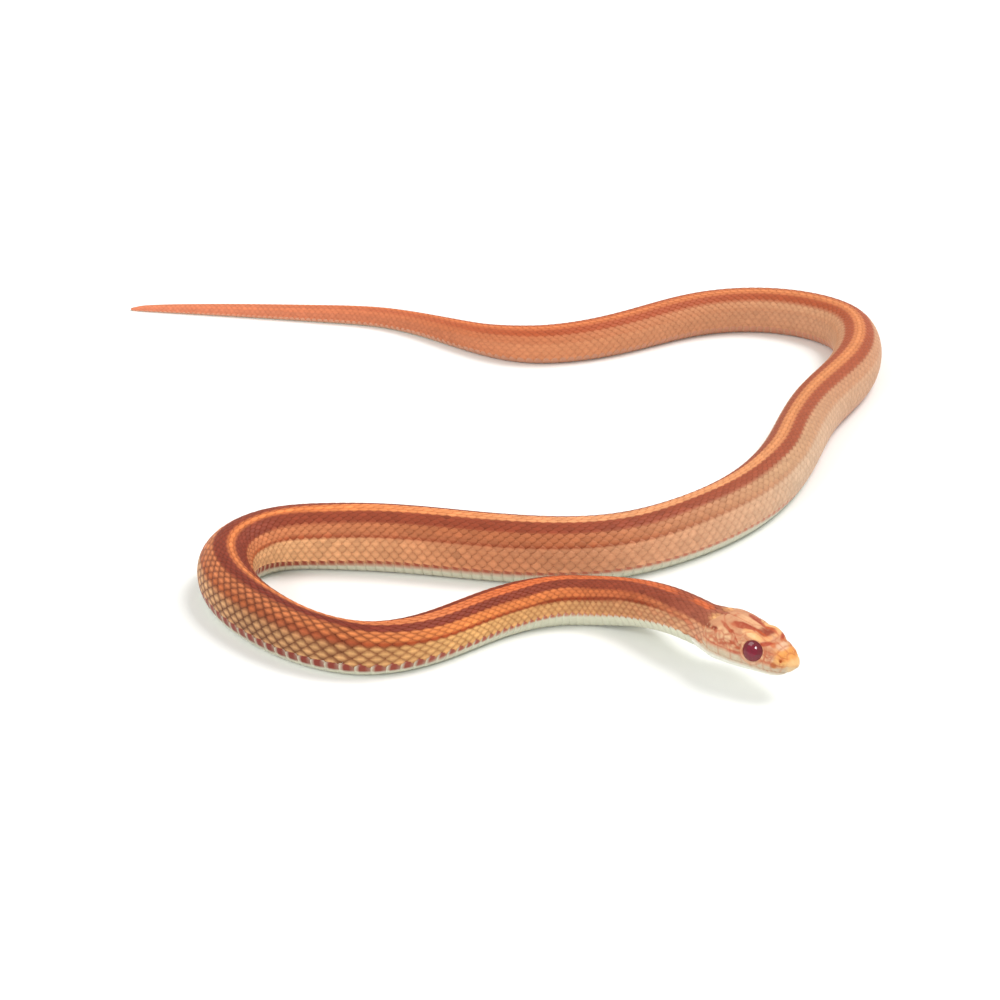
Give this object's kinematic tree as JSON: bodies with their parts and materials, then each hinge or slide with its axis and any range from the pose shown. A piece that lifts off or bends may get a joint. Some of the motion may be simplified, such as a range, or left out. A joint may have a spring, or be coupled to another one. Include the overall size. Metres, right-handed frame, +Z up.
{
  "type": "corn snake",
  "caption": "Life-size still model of a young striped corn snake at rest in loose bends, head a little off the floor, mouth shut, with belly scutes and head shields.",
  "frame": {"origin": "centre of the box around the whole snake, at floor level", "axes": "+Z up; the viewer of the picture looks along +Y, with +X to the right"},
  "size_m": [0.1617, 0.1731, 0.0116],
  "materials": {
    "head": "satin scales, soft sheen",
    "lower_jaw": "satin scales, soft sheen",
    "eye_left": "clear glossy dome over a dark ruby eye",
    "eye_right": "clear glossy dome over a dark ruby eye",
    "neck": "satin scales, soft sheen",
    "body_1": "satin scales, soft sheen",
    "body_2": "satin scales, soft sheen",
    "body_3": "satin scales, soft sheen",
    "body_4": "satin scales, soft sheen",
    "body_5": "satin scales, soft sheen",
    "body_6": "satin scales, soft sheen",
    "body_7": "satin scales, soft sheen",
    "body_8": "satin scales, soft sheen",
    "body_9": "satin scales, soft sheen",
    "body_10": "satin scales, soft sheen",
    "tail_base": "satin scales, soft sheen",
    "tail": "satin scales, soft sheen"
  },
  "bodies": {
    "root": {"head": "head", "lower_jaw": "lower_jaw", "eye_left": "eye_left", "eye_right": "eye_right", "neck": "neck", "body_1": "body_1", "body_2": "body_2", "body_3": "body_3", "body_4": "body_4", "body_5": "body_5", "body_6": "body_6", "body_7": "body_7", "body_8": "body_8", "body_9": "body_9", "body_10": "body_10", "tail_base": "tail_base", "tail": "tail"}
  },
  "joints": []
}
